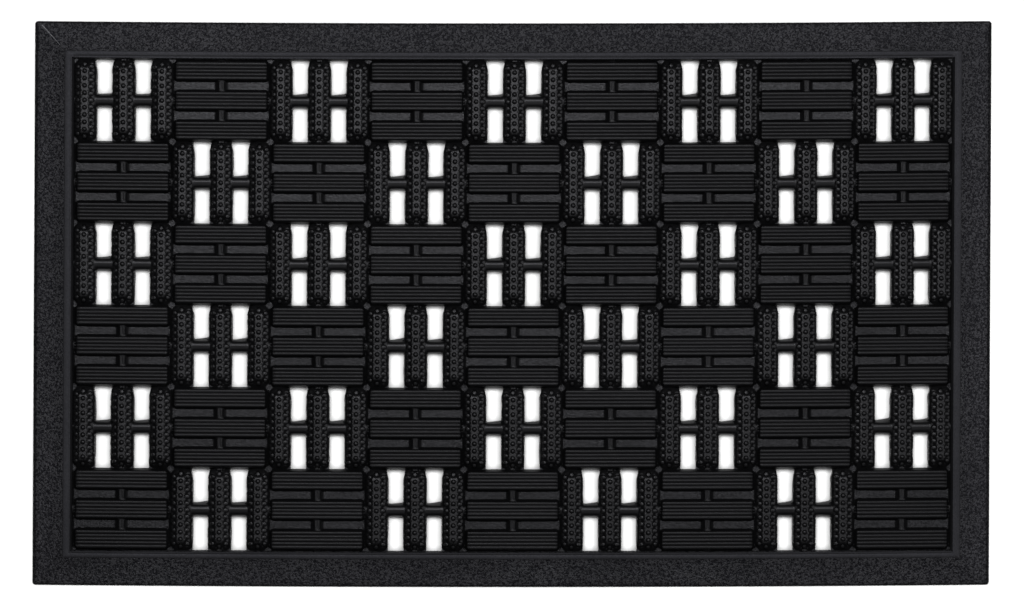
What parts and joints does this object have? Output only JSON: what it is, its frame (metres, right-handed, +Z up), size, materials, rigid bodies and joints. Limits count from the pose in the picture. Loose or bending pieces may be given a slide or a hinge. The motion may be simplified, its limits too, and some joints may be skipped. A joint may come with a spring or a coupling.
{
  "type": "door mat",
  "caption": "Moulded rubber scraper door mat: openwork basket-weave tread of nubbed and ribbed bars inside a ramped, mitred border that lies flat on the ground.",
  "frame": {"origin": "on the ground under the centre of the mat", "axes": "+X along the long side, +Y towards the back edge along the short side, +Z up out of the tread"},
  "size_m": [0.75, 0.442, 0.011],
  "materials": {
    "border_rubber": "fine grained, matte black",
    "nubbed_rubber": "moulded, satin black",
    "ribbed_rubber": "moulded, satin black with a matte floor web"
  },
  "bodies": {
    "root": {"border_rail_front": "border_rubber", "border_rail_right": "border_rubber", "border_rail_back": "border_rubber", "border_rail_left": "border_rubber", "nubbed_block_r1_c1": "nubbed_rubber", "nubbed_block_r1_c3": "nubbed_rubber", "nubbed_block_r1_c5": "nubbed_rubber", "nubbed_block_r1_c7": "nubbed_rubber", "nubbed_block_r1_c9": "nubbed_rubber", "nubbed_block_r2_c2": "nubbed_rubber", "nubbed_block_r2_c4": "nubbed_rubber", "nubbed_block_r2_c6": "nubbed_rubber", "nubbed_block_r2_c8": "nubbed_rubber", "nubbed_block_r3_c1": "nubbed_rubber", "nubbed_block_r3_c3": "nubbed_rubber", "nubbed_block_r3_c5": "nubbed_rubber", "nubbed_block_r3_c7": "nubbed_rubber", "nubbed_block_r3_c9": "nubbed_rubber", "nubbed_block_r4_c2": "nubbed_rubber", "nubbed_block_r4_c4": "nubbed_rubber", "nubbed_block_r4_c6": "nubbed_rubber", "nubbed_block_r4_c8": "nubbed_rubber", "nubbed_block_r5_c1": "nubbed_rubber", "nubbed_block_r5_c3": "nubbed_rubber", "nubbed_block_r5_c5": "nubbed_rubber", "nubbed_block_r5_c7": "nubbed_rubber", "nubbed_block_r5_c9": "nubbed_rubber", "nubbed_block_r6_c2": "nubbed_rubber", "nubbed_block_r6_c4": "nubbed_rubber", "nubbed_block_r6_c6": "nubbed_rubber", "nubbed_block_r6_c8": "nubbed_rubber", "ribbed_block_r1_c2": "ribbed_rubber", "ribbed_block_r1_c4": "ribbed_rubber", "ribbed_block_r1_c6": "ribbed_rubber", "ribbed_block_r1_c8": "ribbed_rubber", "ribbed_block_r2_c1": "ribbed_rubber", "ribbed_block_r2_c3": "ribbed_rubber", "ribbed_block_r2_c5": "ribbed_rubber", "ribbed_block_r2_c7": "ribbed_rubber", "ribbed_block_r2_c9": "ribbed_rubber", "ribbed_block_r3_c2": "ribbed_rubber", "ribbed_block_r3_c4": "ribbed_rubber", "ribbed_block_r3_c6": "ribbed_rubber", "ribbed_block_r3_c8": "ribbed_rubber", "ribbed_block_r4_c1": "ribbed_rubber", "ribbed_block_r4_c3": "ribbed_rubber", "ribbed_block_r4_c5": "ribbed_rubber", "ribbed_block_r4_c7": "ribbed_rubber", "ribbed_block_r4_c9": "ribbed_rubber", "ribbed_block_r5_c2": "ribbed_rubber", "ribbed_block_r5_c4": "ribbed_rubber", "ribbed_block_r5_c6": "ribbed_rubber", "ribbed_block_r5_c8": "ribbed_rubber", "ribbed_block_r6_c1": "ribbed_rubber", "ribbed_block_r6_c3": "ribbed_rubber", "ribbed_block_r6_c5": "ribbed_rubber", "ribbed_block_r6_c7": "ribbed_rubber", "ribbed_block_r6_c9": "ribbed_rubber"}
  },
  "joints": []
}
